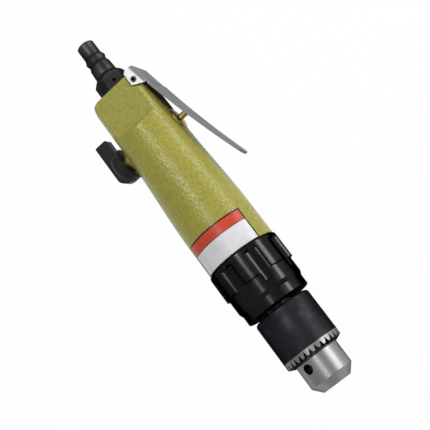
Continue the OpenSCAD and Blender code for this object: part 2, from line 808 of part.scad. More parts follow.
// The handle's outside, with its spigot
module handle_form() {
    taper_st = handle_st + handle_full_len;
    turned(concat([[0, spigot_st], [spigot_r, spigot_st], [spigot_r, handle_st], [handle_front_r, handle_st]],
        [for (i = [0:taper_steps])
            [taper_r(1 - i / taper_steps), taper_st + handle_taper_len * i / taper_steps]],
        round_points([grip_r - handle_back_round, handle_end - handle_back_round], handle_back_round, 0, 90),
        [[0, handle_end]]));
}

// What is cut away outside the rounded lower back corner
module corner_cut() {
    centre = [-handle_end + corner_r - seat_fit, -grip_r + corner_r - seat_fit];
    outside = grip_r + over;
    back_x = -handle_end - over;
    difference() {
        side_prism([[back_x, -outside], [centre[0], -outside], centre, [back_x, centre[1]]],
            -outside, outside);
        translate([centre[0], centre[1], -outside - over])
            cylinder(r = corner_r, h = 2 * (outside + over));
    }
}

// What is cut away for the side flat on +Z
module flat_cut() {
    flat_x = -handle_end + flat_len;
    outside = grip_r + over;
    slope = flat_slope_len / (grip_r - flat_half_w);
    translate([0, outside, 0]) rotate([90, 0, 0]) linear_extrude(height = 2 * outside)
        polygon([[-handle_end - over, flat_half_w], [flat_x, flat_half_w],
            [flat_x + slope * (outside - flat_half_w), outside], [-handle_end - over, outside]]);
}

// What is cut away round the lever's ears, and over the web and the ramp below the lever
module lever_cuts() {
    outside = grip_r + over;
    ear_slope = (ear_front_top - ear_front) / (ear_high_y - ear_low_y);
    wall_x = pin_x + ear_front + pocket_gap;
    for (side = [-1, 1])
        side_prism([[-handle_end - over, pocket_floor_y], [wall_x, pocket_floor_y],
            [wall_x + ear_slope * (outside - pocket_floor_y), outside], [-handle_end - over, outside]],
            side > 0 ? web_half_w : -outside, side > 0 ? outside : -web_half_w);
    side_prism([[-handle_end - over, web_top_y], [-handle_end + relief_flat_len, web_top_y],
        [valve_x - bush_flange_r - edge, grip_r], [valve_x - bush_flange_r - edge, outside],
        [-handle_end - over, outside]], -outside, outside);
}

// Air ways from the reverse valve to the motor
module air_ports() {
    for (side = [-1, 1])
        translate([0, -port_y, side * port_z]) rod(port_r, motor_end - over, -valve_x);
}

module handle_housing() {
    color(olive) difference() {
        handle_form();
        corner_cut();
        flat_cut();
        mirror([0, 0, 1]) flat_cut();
        lever_cuts();
        rod(motor_bore_r, spigot_st - over, motor_end);
        air_ports();
        rod(air_way_r + inlet_gap, -valve_x, handle_end + over);
        rod(plug_thread_r + seat_fit, handle_end - plug_thread_len - screen_t - inlet_gap, handle_end + over);
        rod(plug_thread_r + seal_ring_w, handle_end - seal_ring_t, handle_end + over);
        stud(bush_flange_r + pass_gap, bush_seat_y, grip_r + over);
        stud(bush_r + seat_fit, bush_bottom_y, grip_r);
        stud(chamber_r, -chamber_drop, bush_bottom_y + over);
        stud(link_r, reverse_top_y - over, -chamber_drop + over);
        stud(reverse_bore_r + seat_fit, -grip_r - over, reverse_top_y);
        translate([pin_x, pin_y, -web_half_w - over])
            cylinder(r = pin_r + seat_fit, h = 2 * (web_half_w + over));
    }
}

module valve_bush() {
    bore_r = stem_r + run_fit;
    rim_y = bush_seat_y + bush_rim_t;
    groove_y = bush_seat_y - bush_groove_depth;
    groove_r = bush_r - bush_groove;
    color(brass) turned_valve([[bore_r, bush_bottom_y], [bush_r, bush_bottom_y],
        [bush_r, groove_y - bush_groove_w], [groove_r, groove_y - bush_groove_w], [groove_r, groove_y],
        [bush_r, groove_y], [bush_r, bush_seat_y], [bush_flange_r, bush_seat_y], [bush_flange_r, rim_y],
        [(bush_flange_r + stem_r) / 2, rim_y + bush_dome_h * (1 - bush_dome_share / 2)],
        [stem_r * (1 + bush_dome_share), rim_y + bush_dome_h], [bore_r, rim_y + bush_dome_h]]);
}

module bush_seal() {
    groove_y = bush_seat_y - bush_groove_depth;
    groove_r = bush_r - bush_groove;
    color(rubber) turned_valve([[groove_r, groove_y - bush_groove_w], [bush_r, groove_y - bush_groove_w],
        [bush_r, groove_y], [groove_r, groove_y]]);
}

module valve_stem() {
    color(brass) turned_valve([[0, head_top_y - stem_head_t], [stem_head_r, head_top_y - stem_head_t],
        [stem_head_r, head_top_y], [stem_r, head_top_y], [stem_r, stem_top_y - edge],
        [stem_r - edge, stem_top_y], [0, stem_top_y]]);
}

module stem_seal() {
    color(rubber) turned_valve([[stem_r, head_top_y], [stem_head_r, head_top_y],
        [stem_head_r, head_top_y + seal_t], [stem_r, head_top_y + seal_t]]);
}

// The valve spring: one tube swept along a helix about the valve axis
spring_sides = 6;
spring_rings_per_turn = 8;
spring_low_y = -chamber_drop + spring_wire_r + seat_fit;
spring_high_y = head_top_y - stem_head_t - spring_wire_r - seat_fit;
spring_rings = spring_turns * spring_rings_per_turn;
function spring_point(ring, side) = let (turn = 360 * ring / spring_rings_per_turn,
    around = 360 * side / spring_sides, r = spring_r + spring_wire_r * cos(around))
    [r * cos(turn), spring_low_y + (spring_high_y - spring_low_y) * ring / spring_rings
        + spring_wire_r * sin(around), r * sin(turn)];
spring_points = [for (ring = [0:spring_rings], side = [0:spring_sides - 1]) spring_point(ring, side)];
spring_gap = min([for (a = [0:spring_sides - 1], b = [0:spring_sides - 1])
    norm(spring_point(0, a) - spring_point(spring_rings_per_turn, b))]);
echo(str("valve spring, least gap between curls: ", spring_gap, " mm"));

module valve_spring() {
    last = spring_rings * spring_sides;
    color(steel) translate([valve_x, 0, 0]) polyhedron(points = spring_points, faces = concat(
        [for (ring = [0:spring_rings - 1], side = [0:spring_sides - 1])
            let (a = ring * spring_sides + side, b = ring * spring_sides + (side + 1) % spring_sides)
            each [[a, b, b + spring_sides], [a, b + spring_sides, a + spring_sides]]],
        [for (side = [1:spring_sides - 2]) [0, side + 1, side]],
        [for (side = [1:spring_sides - 2]) [last, last + side, last + side + 1]]));
}

module lever_pin() {
    half = lever_half_w + pin_end;
    color(black) translate([pin_x, pin_y, -half]) difference() {
        cylinder(r = pin_r, h = 2 * half);
        translate([0, 0, -over]) cylinder(r = pin_r * pin_hole_share, h = 2 * (half + over));
    }
}

// A ring about the centre of the lever's bend, from [radius, width] points
module bend_ring(points) {
    translate([lever_centre[0], lever_centre[1], 0]) rotate_extrude($fn = bend_facets) polygon(points);
}

// The lever's section across its ears: a channel with folded corners
fold_half_w = lever_half_w - lever_fold_r;
function fold(side, r, from, to) =
    round_points([lever_bend_r + lever_fold_r, side * fold_half_w], r, from, to);
channel_points = let (low_r = lever_bend_r + lever_rise + ear_drop + ear_front_top)
    concat([[low_r, lever_half_w]], fold(1, lever_fold_r, 90, 180), fold(-1, lever_fold_r, 180, 270),
        [[low_r, -lever_half_w], [low_r, lever_t - lever_half_w]], fold(-1, lever_fold_r - lever_t, 270, 180),
        fold(1, lever_fold_r - lever_t, 180, 90), [[low_r, lever_half_w - lever_t]]);

module throttle_lever() {
    back_x = lever_heel[0];
    tip_x = pin_x + lever_reach - lever_tip_half_w;
    wide_x = pin_x + ear_front_top;
    top_y = lever_face_y(pin_x + lever_reach, lever_bend_r) + lever_t;
    color(steel) difference() {
        union() {
            intersection() {
                bend_ring([[lever_bend_r, -lever_half_w], [lever_bend_r + lever_t, -lever_half_w],
                    [lever_bend_r + lever_t, lever_half_w], [lever_bend_r, lever_half_w]]);
                translate([0, top_y, 0]) rotate([90, 0, 0]) linear_extrude(height = top_y)
                    polygon(concat([[wide_x - edge, lever_half_w], [wide_x - edge, -lever_half_w],
                        [wide_x, -lever_half_w]],
                        [for (i = [0:2 * round_steps]) [tip_x, 0] + lever_tip_half_w
                            * [cos(90 * (i / round_steps - 1)), sin(90 * (i / round_steps - 1))]],
                        [[wide_x, lever_half_w]]));
            }
            intersection() {
                bend_ring(channel_points);
                side_prism([[back_x, lever_heel[1] + lever_t], [back_x, ear_low_y + ear_corner],
                    [back_x + ear_corner, ear_low_y], [pin_x + ear_front, ear_low_y],
                    [wide_x, ear_high_y + lever_t]], -lever_half_w - over, lever_half_w + over);
            }
        }
        translate([pin_x, pin_y, -lever_half_w - over])
            cylinder(r = pin_r + run_fit, h = 2 * (lever_half_w + over));
    }
}

module reverse_bush() {
    color(brass) difference() {
        stud(reverse_bore_r, reverse_low_y, reverse_top_y);
        stud(spool_r + run_fit, reverse_low_y - over, reverse_top_y + over);
        air_ports();
    }
}

module reverse_spool() {
    color(brass) difference() {
        union() {
            stud(spool_r, knob_y, reverse_top_y - seal_gap);
            stud(spool_neck_r, knob_y - spool_neck_len, knob_y + over);
        }
        stud(link_r, -port_y, reverse_top_y + over);
        translate([0, -port_y, 0]) rod(port_r, -valve_x - spool_r - over, -valve_x);
        stud(knob_screw_shank_r + seat_fit, knob_y - spool_neck_len - over,
            knob_y - spool_neck_len + knob_screw_len);
    }
}

// The knob's finger bar, rounded in side view and in end view
module finger_bar() {
    low_y = knob_y - knob_h;
    high_y = knob_y - knob_step;
    front = knob_hub_r - edge;
    half_w = knob_bar_w / 2;
    r = knob_bar_round;
    translate([valve_x, 0, 0]) intersection() {
        side_prism(concat([[front, high_y]], round_points([r - knob_reach, high_y - r], r, 90, 180),
            round_points([r - knob_reach, low_y + r], r, 180, 270),
            round_points([front - knob_front_round, low_y + knob_front_round], knob_front_round, 270, 360)),
            -half_w, half_w);
        translate([-knob_reach, 0, 0]) rotate([90, 0, 90]) linear_extrude(height = knob_reach + knob_hub_r)
            polygon(concat([[high_y, half_w], [high_y, -half_w]],
                round_points([low_y + r, r - half_w], r, 270, 180),
                round_points([low_y + r, half_w - r], r, 180, 90)));
    }
}

module reverse_knob() {
    hub_low_y = knob_y - knob_hub_h;
    color(black) difference() {
        union() {
            turned_valve(concat([[0, knob_y], [knob_hub_r - edge, knob_y], [knob_hub_r, knob_y - edge]],
                round_points([knob_hub_r - knob_hub_round, hub_low_y + knob_hub_round],
                    knob_hub_round, 0, -90), [[0, hub_low_y]]));
            finger_bar();
        }
        stud(spool_neck_r + seat_fit, knob_y - spool_neck_len - seat_fit, knob_y + over);
        stud(knob_screw_shank_r + pass_gap, knob_y - knob_h, knob_y);
        stud(knob_screw_r + pass_gap, knob_y - knob_h - over, knob_y - knob_h + knob_screw_sink);
    }
}

module knob_screw() {
    head_y = knob_y - knob_h + knob_screw_sink;
    slot_w = knob_screw_r * screw_slot_share;
    color(steel) difference() {
        union() {
            stud(knob_screw_r, head_y - knob_screw_head_t, head_y);
            stud(knob_screw_shank_r, head_y - knob_screw_head_t / 2,
                knob_y - spool_neck_len + knob_screw_len - seal_gap);
        }
        translate([valve_x - slot_w / 2, head_y - knob_screw_head_t - over, -knob_screw_r - over])
            cube([slot_w, over + knob_screw_head_t * screw_slot_share, 2 * (knob_screw_r + over)]);
    }
}

module inlet_plug() {
    thread_st = handle_end - plug_thread_len;
    groove_st = plug_st + plug_shank_len + plug_ridge_len;
    color(black) difference() {
        union() {
            intersection() {
                clocked(hex_hole_angle) translate([-plug_st, 0, 0]) rotate([0, 90, 0]) rotate([0, 0, 30])
                    cylinder(r = hex_corner_r, h = hex_len + hex_cone_len, $fn = 6);
                turned([[0, handle_end], [hex_corner_r, handle_end], [hex_corner_r, handle_end + hex_len],
                    [plug_shank_r, plug_st], [0, plug_st]]);
            }
            turned([[0, plug_st], [plug_shank_r, plug_st],
                [plug_shank_r - shank_taper, groove_st - plug_ridge_len],
                [plug_groove_r, groove_st], [plug_ridge_r, groove_st + plug_ridge_len],
                [plug_nose_r, groove_st + 2 * plug_ridge_len], [plug_nose_r, plug_end - edge],
                [plug_nose_r - edge, plug_end], [0, plug_end]]);
            rod(plug_thread_r, thread_st, plug_st + plug_shank_len);
        }
        rod(air_way_r, thread_st - over, plug_end + over);
        clocked(hex_hole_angle) translate([-handle_end - hex_len / 2, 0, hex_af / 2 - hex_hole_depth])
            cylinder(r = hex_hole_r, h = hex_hole_depth + over);
    }
}

module inlet_seal() {
    front = handle_end - seal_ring_t;
    color(rubber) turned([[plug_thread_r + seat_fit, front], [plug_thread_r + seal_ring_w - seat_fit, front],
        [plug_thread_r + seal_ring_w - seat_fit, handle_end], [plug_thread_r + seat_fit, handle_end]]);
}

module inlet_screen() {
    front = handle_end - plug_thread_len - screen_t - inlet_gap;
    color(steel) difference() {
        rod(plug_thread_r, front, front + screen_t);
        rod(screen_hole_r, front - over, front + screen_t + over);
        for (i = [1:screen_holes])
            clocked(360 / screen_holes * i) translate([0, 0, screen_pitch])
                rod(screen_hole_r, front - over, front + screen_t + over);
    }
}

handle_housing();
gear_housing();
ring_gear();
spindle_seal();
spindle_outer_races();
spindle_balls();
bearing_spacer();
motor_front_plate();
motor_rear_plate();
motor_cylinder();
cylinder_dowels();
rotor_outer_races();
rotor_balls();
valve_bush();
bush_seal();
valve_spring();
reverse_bush();
inlet_plug();
inlet_seal();
inlet_screen();
lever_pin();
throttle_lever();
valve_stem();
stem_seal();
reverse_spool();
reverse_knob();
knob_screw();
spindle();
planet_pins();
spindle_inner_races();
chuck_body();
chuck_screw();
chuck_sleeve();
chuck_nut();
jaw_1();
jaw_2();
jaw_3();
rotor();
vanes();
rotor_inner_races();
planet_gear_1();
planet_gear_2();
planet_gear_3();
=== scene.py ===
"""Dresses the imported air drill.

Every solid gets its finish. A slotted spring pin, a coil spring, a blank decal and the studio are added.
"""

import math
from collections import namedtuple

import bmesh
import bpy
from mathutils import Matrix, Vector


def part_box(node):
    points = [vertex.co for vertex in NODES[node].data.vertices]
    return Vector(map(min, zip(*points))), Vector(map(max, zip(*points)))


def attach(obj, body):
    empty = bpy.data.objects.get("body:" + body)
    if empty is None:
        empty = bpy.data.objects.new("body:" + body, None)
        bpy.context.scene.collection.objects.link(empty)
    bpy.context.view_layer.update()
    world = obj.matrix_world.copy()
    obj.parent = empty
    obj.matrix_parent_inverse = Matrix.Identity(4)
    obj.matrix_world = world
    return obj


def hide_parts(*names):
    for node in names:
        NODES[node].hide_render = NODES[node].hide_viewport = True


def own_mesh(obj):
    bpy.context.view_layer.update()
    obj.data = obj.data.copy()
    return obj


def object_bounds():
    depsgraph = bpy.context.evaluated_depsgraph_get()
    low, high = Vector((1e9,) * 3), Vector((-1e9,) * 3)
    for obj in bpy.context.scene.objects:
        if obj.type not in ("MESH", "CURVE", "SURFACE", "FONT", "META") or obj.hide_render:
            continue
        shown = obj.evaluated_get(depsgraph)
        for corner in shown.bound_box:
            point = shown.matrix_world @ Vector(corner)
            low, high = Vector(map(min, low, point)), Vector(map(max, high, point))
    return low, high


bl_info = {
    "name": "Air Drill Dresser",
    "version": (1, 0, 0),
    "blender": (4, 5, 0),
    "location": "3D View > Sidebar > Air Drill",
    "description": "Gives a straight air drill its finishes, small pieces and studio",
    "category": "Object",
}

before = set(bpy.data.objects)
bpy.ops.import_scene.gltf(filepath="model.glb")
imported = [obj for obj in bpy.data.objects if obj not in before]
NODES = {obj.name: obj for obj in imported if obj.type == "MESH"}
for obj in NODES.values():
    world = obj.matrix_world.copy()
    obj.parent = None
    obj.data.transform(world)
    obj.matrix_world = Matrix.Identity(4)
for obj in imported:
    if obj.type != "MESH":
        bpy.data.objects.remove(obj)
CAD_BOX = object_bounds()

# Range that most of a noise stays in
NOISE_RANGE = (0.3, 0.7)

# Numbers of the Mix node's sockets for colours
MIX_SHARE = 0
MIX_FIRST = 6
MIX_SECOND = 7
MIX_RESULT = 2

# Tones of the painted shade under the lever, the ink, the small and inner pieces, and the paper
UNDER_LEVER_SHADE = (0.055, 0.046, 0.008)
INK = (0.012, 0.012, 0.012)
TEMPERED_STEEL = (0.02, 0.02, 0.022)
SPRING_STEEL = (0.06, 0.06, 0.065)
GROUND_STEEL = (0.5, 0.5, 0.5)
SCREW_STEEL = (0.42, 0.42, 0.42)
OILED_STEEL = (0.05, 0.046, 0.036)
HONED_IRON = (0.24, 0.24, 0.245)
SEAL_RUBBER = (0.02, 0.02, 0.02)
LAMINATE_WARP = (0.16, 0.075, 0.03)
LAMINATE_WEFT = (0.25, 0.13, 0.06)
BLACK = (0.0, 0.0, 0.0)
WHITE = (1.0, 1.0, 1.0)

# Distance in metres under which two points are one
MERGE = 1e-7

# Lift of the decal over the handle's measured radius, in metres, and the steps of its arc
DECAL_LIFT = 0.00003
DECAL_STEPS = 64

# Bore of the spring pin as a share of its outside, and the steps of its arc
PIN_BORE_SHARE = 0.55
PIN_STEPS = 40

# Angle in degrees past which an edge stays sharp
SHARP = 35.0

# Half the floor's side and its gap under the drill, in metres
FLOOR_REACH = 12.0
FLOOR_GAP = 0.0002

# Share of plain white in what is seen of the floor
FLOOR_GLOW = 0.97

# Camera: sensor width in millimetres, and the nearest and farthest distance in metres
SENSOR = 36.0
VIEW_RANGE = (0.01, 20.0)

# Lamps: the setting of the power, and the place and size in metres
Lamp = namedtuple("Lamp", "name power place size")
LAMPS = (
    Lamp("nose_softbox", "nose_power", (-0.02, 0.64, 0.22), (0.20, 0.40)),
    Lamp("side_strip", "side_power", (-0.44, 0.65, 0.11), (0.38, 0.055)),
    Lamp("collar_panel", "collar_power", (-0.165, 0.64, 0.14), (0.16, 0.13)),
    Lamp("top_strip", "top_power", (-0.42, 0.05, 0.73), (0.40, 0.055)),
    Lamp("front_strip", "front_power", (-0.05, 0.05, 0.73), (0.34, 0.055)),
    Lamp("back_panel", "back_power", (-0.50, -0.20, 0.72), (0.25, 0.20)),
)


# Settings


def colour(name, description, default):
    """A linear colour that the user can change."""
    return bpy.props.FloatVectorProperty(
        name=name, description=description, default=default, size=3, min=0.0, max=1.0, subtype="COLOR")


def length(name, description, default):
    """A length in metres that the user can change."""
    return bpy.props.FloatProperty(
        name=name, description=description, default=default, min=0.0, subtype="DISTANCE", unit="LENGTH")


def point(name, description, default):
    """A place in metres that the user can change."""
    return bpy.props.FloatVectorProperty(
        name=name, description=description, default=default, size=3, subtype="TRANSLATION", unit="LENGTH")


def turn(name, description, degrees):
    """An angle that the user can change."""
    return bpy.props.FloatProperty(
        name=name, description=description, default=math.radians(degrees), subtype="ANGLE", unit="ROTATION")


def power(name, description, watts):
    """A lamp's power that the user can change."""
    return bpy.props.FloatProperty(name=name, description=description, default=watts, min=0.0, unit="POWER")


class DrillFinishes(bpy.types.PropertyGroup):
    """Colours of the drill's finishes"""

    enamel: colour("Enamel", "Hammered enamel of the handle", (0.308, 0.287, 0.05))
    enamel_dark: colour("Enamel hollows", "Hammered enamel in its hollows", (0.232, 0.216, 0.037))
    collar: colour("Collar", "Gloss enamel of the gear housing", (0.019, 0.019, 0.0192))
    sleeve: colour("Sleeve", "Blackened steel of the chuck's sleeve", (0.0166, 0.0176, 0.0202))
    steel: colour("Turned steel", "Turned steel of the chuck's nose", (0.32, 0.318, 0.312))
    sheet: colour("Plated sheet", "Plated sheet of the throttle lever", (0.57, 0.57, 0.58))
    plating: colour("Black plating", "Black plated steel of the inlet plug", (0.036, 0.036, 0.0365))
    brass: colour("Brass", "Machined brass of the valves", (0.46, 0.33, 0.115))
    knob: colour("Knob", "Moulded plastic of the reverse knob", (0.008, 0.008, 0.009))
    decal_field: colour("Decal field", "Pale field of the blank decal", (0.6, 0.6, 0.615))
    decal_band: colour("Decal band", "Coloured band of the blank decal", (0.5, 0.056, 0.027))


class DrillSizes(bpy.types.PropertyGroup):
    """Sizes of the pieces that are added and places where a finish changes"""

    decal_front: length("Decal front", "Distance of the decal's front edge behind the chuck mouth", 0.08853)
    decal_back: length("Decal back", "Distance of the decal's back edge behind the chuck mouth", 0.1087)
    decal_band: length("Decal band", "Width of the decal's coloured band", 0.0064)
    decal_rim: length("Decal rim", "Width of the decal's dark rim", 0.0009)
    decal_film: length("Decal film", "Thickness of the decal's film", 0.00012)
    decal_span: turn("Decal span", "Angle that the decal covers round the handle", 112.0)
    pin_slot: turn("Pin slot", "Angle of the slot along the spring pin", 34.0)
    nose_cone: length("Nose cone", "Length of the cone at the chuck's mouth", 0.0056)
    gear_rim: length("Key gear rim", "Length of the bright rim at the front of the sleeve", 0.0053)
    flat_side: length("Flat side", "Distance of the handle's side flats from the axis", 0.0134)
    flat_front: length("Flat front", "Distance of the flats' front end behind the chuck mouth", 0.1854)
    ramp_back: length("Ramp back", "Distance of the lever ramp's back end behind the chuck mouth", 0.203)
    ramp_front: length(
        "Ramp front", "Distance of the lever ramp's front end behind the chuck mouth", 0.18215)
    ramp_low: length("Ramp low end", "Distance of the ramp's back end from the axis", 0.0174)
    ramp_high: length("Ramp high end", "Distance of the ramp's front end from the axis", 0.0196)
    ear_front: length("Ear front", "Distance of the lever ears' front end behind the chuck mouth", 0.1999)
    valve_travel: length("Valve travel", "Travel of the valve stem with the lever down", 0.00346)
    edge: length("Edge", "Softness of the machined edges", 0.0004)


class DrillStudio(bpy.types.PropertyGroup):
    """Camera and lights"""

    camera: point("Camera", "Place of the camera", (-0.00365, 0.1397, 0.4874))
    aim: point("Aim", "Point on the axis that the camera faces", (-0.117, 0.0, 0.0))
    offset: length("Offset", "Distance that the view is moved towards the lever", 0.00157)
    roll: turn("Roll", "Turn of the spindle axis in the picture, below the level", 53.16)
    lens: bpy.props.FloatProperty(
        name="Lens", description="Focal length in millimetres", default=75.35, min=1.0,
        subtype="DISTANCE_CAMERA", unit="CAMERA")
    nose_power: power("Nose light", "Power of the softbox beside the chuck, on the lever's side", 0.8)
    side_power: power("Side light", "Power of the low strip beside the handle, on the lever's side", 1.5)
    collar_power: power("Collar light", "Power of the low panel beside the gear housing", 0.75)
    top_power: power("Top light", "Power of the strip over the handle", 2.3)
    front_power: power("Front light", "Power of the strip over the chuck", 0.4)
    back_power: power("Back light", "Power of the panel over the drill's back end", 0.09)
    sky: bpy.props.FloatProperty(
        name="Sky", description="Strength of the even light from all round", default=0.48, min=0.0)


# Finishes


class Finish:
    """A material whose nodes are added by short calls."""

    def __init__(self, name):
        self.material = bpy.data.materials.new(name)
        self.material.use_nodes = True
        self.tree = self.material.node_tree
        self.shader = self.tree.nodes["Principled BSDF"]
        self.place = self.add("ShaderNodeTexCoord").outputs["Object"]

    def feed(self, socket, value):
        """Links an output to a socket, or sets the socket's constant."""
        if isinstance(value, bpy.types.NodeSocket):
            self.tree.links.new(value, socket)
        elif socket.type == "RGBA":
            socket.default_value = (*value, 1.0)
        else:
            socket.default_value = value

    def add(self, kind, inputs=None, **values):
        """Adds a node, sets its own values and feeds its inputs."""
        node = self.tree.nodes.new(kind)
        for key, value in values.items():
            setattr(node, key, value)
        for key, value in (inputs or {}).items():
            self.feed(node.inputs[key], value)
        return node

    def set(self, **values):
        """Feeds the shader's own sockets, named in small letters."""
        for key, value in values.items():
            socket = key.replace("_", " ").title().replace("Ior", "IOR")
            self.feed(self.shader.inputs[socket], value)

    def noise(self, scale, detail=2.0, roughness=0.5, stretch=None):
        """A soft noise, drawn closer together along the axes that have a stretch."""
        place = self.place
        if stretch:
            place = self.add("ShaderNodeMapping", {"Vector": place, "Scale": stretch}).outputs["Vector"]
        inputs = {"Vector": place, "Scale": scale, "Detail": detail, "Roughness": roughness}
        return self.add("ShaderNodeTexNoise", inputs).outputs["Fac"]

    def cells(self, scale, smooth):
        """The distance from the middle of soft round cells."""
        inputs = {"Vector": self.place, "Scale": scale, "Smoothness": smooth}
        return self.add("ShaderNodeTexVoronoi", inputs, feature="SMOOTH_F1").outputs["Distance"]

    def remap(self, source, start, end, low=0.0, high=1.0):
        """Runs from low to high as the source runs from start to end."""
        inputs = {"Value": source, "From Min": start, "From Max": end, "To Min": low, "To Max": high}
        return self.add("ShaderNodeMapRange", inputs).outputs["Result"]

    def spread(self, noise, low=0.0, high=1.0):
        """Runs from low to high over the range of a noise."""
        return self.remap(noise, *NOISE_RANGE, low, high)

    def at_surface(self, place, surface, deep, shallow, low=0.0, high=1.0):
        """Runs from low, deep under a surface, to high, close under it."""
        return self.remap(place, surface - deep, surface - shallow, low, high)

    def math(self, operation, first, second=0.0):
        """One step of arithmetic."""
        return self.add("ShaderNodeMath", {0: first, 1: second}, operation=operation).outputs[0]

    def product(self, first, second):
        """Two values multiplied."""
        return self.math("MULTIPLY", first, second)

    def mix(self, share, first, second):
        """A colour between two others, nearer the second as the share grows."""
        inputs = {MIX_SHARE: share, MIX_FIRST: first, MIX_SECOND: second}
        return self.add("ShaderNodeMix", inputs, data_type="RGBA").outputs[MIX_RESULT]

    def split(self, vector):
        """The X, Y and Z of a vector."""
        return self.add("ShaderNodeSeparateXYZ", {"Vector": vector}).outputs

    def axes(self):
        """The place on the piece along each axis."""
        return self.split(self.place)

    def facing(self):
        """The share of the surface's direction that each axis has."""
        return self.split(self.add("ShaderNodeTexCoord").outputs["Normal"])

    def out_from_axis(self):
        """The distance from the spindle's axis."""
        place = self.axes()
        squares = [self.math("POWER", place[key], 2.0) for key in ("Y", "Z")]
        return self.math("SQRT", self.math("ADD", *squares))

    def relief(self, height, depth, strength, edge=0.0):
        """Gives the shader its relief and its soft edges, and returns the material."""
        inputs = {"Height": height, "Distance": depth, "Strength": strength}
        if edge:
            inputs["Normal"] = self.add("ShaderNodeBevel", {"Radius": edge}, samples=4).outputs["Normal"]
        self.set(normal=self.add("ShaderNodeBump", inputs).outputs["Normal"])
        return self.material


def paint(material, *names):
    """Puts a material on CAD nodes."""
    for name in names:
        slots = NODES[name].data.materials
        slots.clear()
        slots.append(material)


def shade(value, factor):
    """A lighter or darker tone of a colour."""
    return tuple(min(1.0, channel * factor) for channel in value)


def grey(level):
    """A plain grey."""
    return (level, level, level)


def hammered_enamel(colours, sizes):
    """Enamel with the leathery skin of hammer paint, thin on the flats, and painted dark as shade under the
    lever.
    """
    finish = Finish("hammered_enamel")
    place = finish.axes()
    outward = finish.math("ABSOLUTE", place["Z"])
    aside = finish.at_surface(outward, sizes.flat_side, deep=0.0004, shallow=0.0002)
    thin = finish.product(aside, finish.math("LESS_THAN", place["X"], -sizes.flat_front))
    # Painted shade: the housing under the lever, above the ramp and behind its front end, is painted dark
    # and made rough.
    ramp = finish.remap(place["X"], -sizes.ramp_back, -sizes.ramp_front, sizes.ramp_low, sizes.ramp_high)
    above = finish.at_surface(finish.math("SUBTRACT", place["Y"], ramp), 0.0, deep=0.0006, shallow=0.0002)
    under_lever_shade = finish.product(above, finish.math("LESS_THAN", place["X"], -sizes.ramp_front))
    skin = finish.cells(scale=600.0, smooth=0.75)
    grain = finish.noise(scale=1300.0, detail=1.0)
    drift = finish.noise(scale=40.0)
    height = finish.math("ADD", skin, finish.product(grain, 0.35))
    hollow = finish.product(finish.remap(height, 0.35, 0.95), finish.spread(drift, 0.7, 1.0))
    enamel = finish.mix(hollow, colours.enamel, colours.enamel_dark)
    satin = finish.math("ADD", finish.spread(grain, 0.22, 0.34), finish.product(thin, 0.12))
    finish.set(base_color=finish.mix(under_lever_shade, enamel, UNDER_LEVER_SHADE), specular_ior_level=0.26,
               roughness=finish.math("MAXIMUM", satin, under_lever_shade))
    skin_height = finish.product(height, finish.remap(thin, 0.0, 1.0, low=1.0, high=0.12))
    return finish.relief(skin_height, depth=0.00026, strength=0.8, edge=sizes.edge * 2.5)


def gloss_enamel(colours, sizes, front):
    """Deep black enamel with a faint orange peel; the front face is left dull and painted darker as shade.
    """
    finish = Finish("gloss_enamel")
    peel = finish.noise(scale=420.0)
    dust = finish.noise(scale=90.0, detail=4.0)
    # Painted shade: the front face, in the gap before the chuck, is made dull and painted darker.
    shaded_front_face = finish.at_surface(finish.axes()["X"], front, deep=0.0006, shallow=0.0003)
    dusty = finish.mix(finish.remap(dust, 0.45, 0.8), colours.collar, shade(colours.collar, 1.5))
    finish.set(base_color=finish.mix(shaded_front_face, dusty, shade(colours.collar, 0.3)),
               metallic=1.0, specular_tint=grey(0.12),
               roughness=finish.math("MAXIMUM", finish.spread(dust, 0.15, 0.21), finish.product(shaded_front_face, 0.8)))
    return finish.relief(peel, depth=0.00005, strength=0.3, edge=sizes.edge * 0.3)


def chuck_sleeve_finish(colours, sizes, front, rim):
    """Blackened sleeve, with bright turned steel on the rim of its key gear."""
    finish = Finish("chuck_sleeve_finish")
    gear_back = front - sizes.gear_rim
    border = 0.00012
    ahead = finish.remap(finish.axes()["X"], gear_back - border, gear_back + border)
    on_rim = finish.at_surface(finish.out_from_axis(), rim, deep=0.0006, shallow=0.0002, low=0.12)
    bright = finish.product(ahead, on_rim)
    cloud = finish.noise(scale=65.0, detail=5.0, roughness=0.6)
    rings = finish.noise(scale=1.0, detail=3.0, roughness=0.6, stretch=(2600.0, 0.0, 0.0))
    dark = finish.mix(finish.remap(cloud, 0.35, 0.7), colours.sleeve, shade(colours.sleeve, 2.0))
    steel = finish.mix(finish.spread(rings), shade(colours.steel, 0.7), shade(colours.steel, 0.95))
    satin = finish.remap(cloud, 0.36, 0.64, low=0.62, high=0.36)
    finish.set(base_color=finish.mix(bright, dark, steel), metallic=1.0, specular_tint=grey(0.3),
               roughness=finish.math("SUBTRACT", satin, finish.product(bright, 0.12)))
    marks = finish.math("ADD", rings, cloud)
    return finish.relief(marks, depth=0.00003, strength=0.3, edge=sizes.edge * 0.6)


def turned_steel(colours, sizes, outside):
    """Satin steel with the fine rings of turning, painted dark as shade in the holes behind the nose cone.
    """
    finish = Finish("turned_steel")
    rings = finish.noise(scale=1.0, detail=4.0, roughness=0.7, stretch=(3200.0, 0.0, 0.0))
    stain = finish.noise(scale=110.0, detail=4.0, roughness=0.6)
    tone = finish.mix(finish.spread(rings), shade(colours.steel, 0.86), colours.steel)
    worn = finish.mix(finish.remap(stain, 0.6, 0.8, high=0.35), tone, shade(colours.steel, 0.6))
    # Painted shade: the surfaces behind the nose cone that lie inside its outer radius, the holes, are
    # painted dark.
    behind = finish.math("LESS_THAN", finish.axes()["X"], -sizes.nose_cone)
    out = finish.out_from_axis()
    within = finish.at_surface(out, outside, deep=0.0003, shallow=0.0001, low=1.0, high=0.0)
    hole_shade = finish.product(behind, within)
    finish.set(base_color=finish.mix(hole_shade, worn, shade(colours.steel, 0.3)), metallic=1.0,
               specular_tint=grey(0.3), roughness=finish.spread(rings, 0.32, 0.4))
    return finish.relief(rings, depth=0.00002, strength=0.15, edge=sizes.edge)


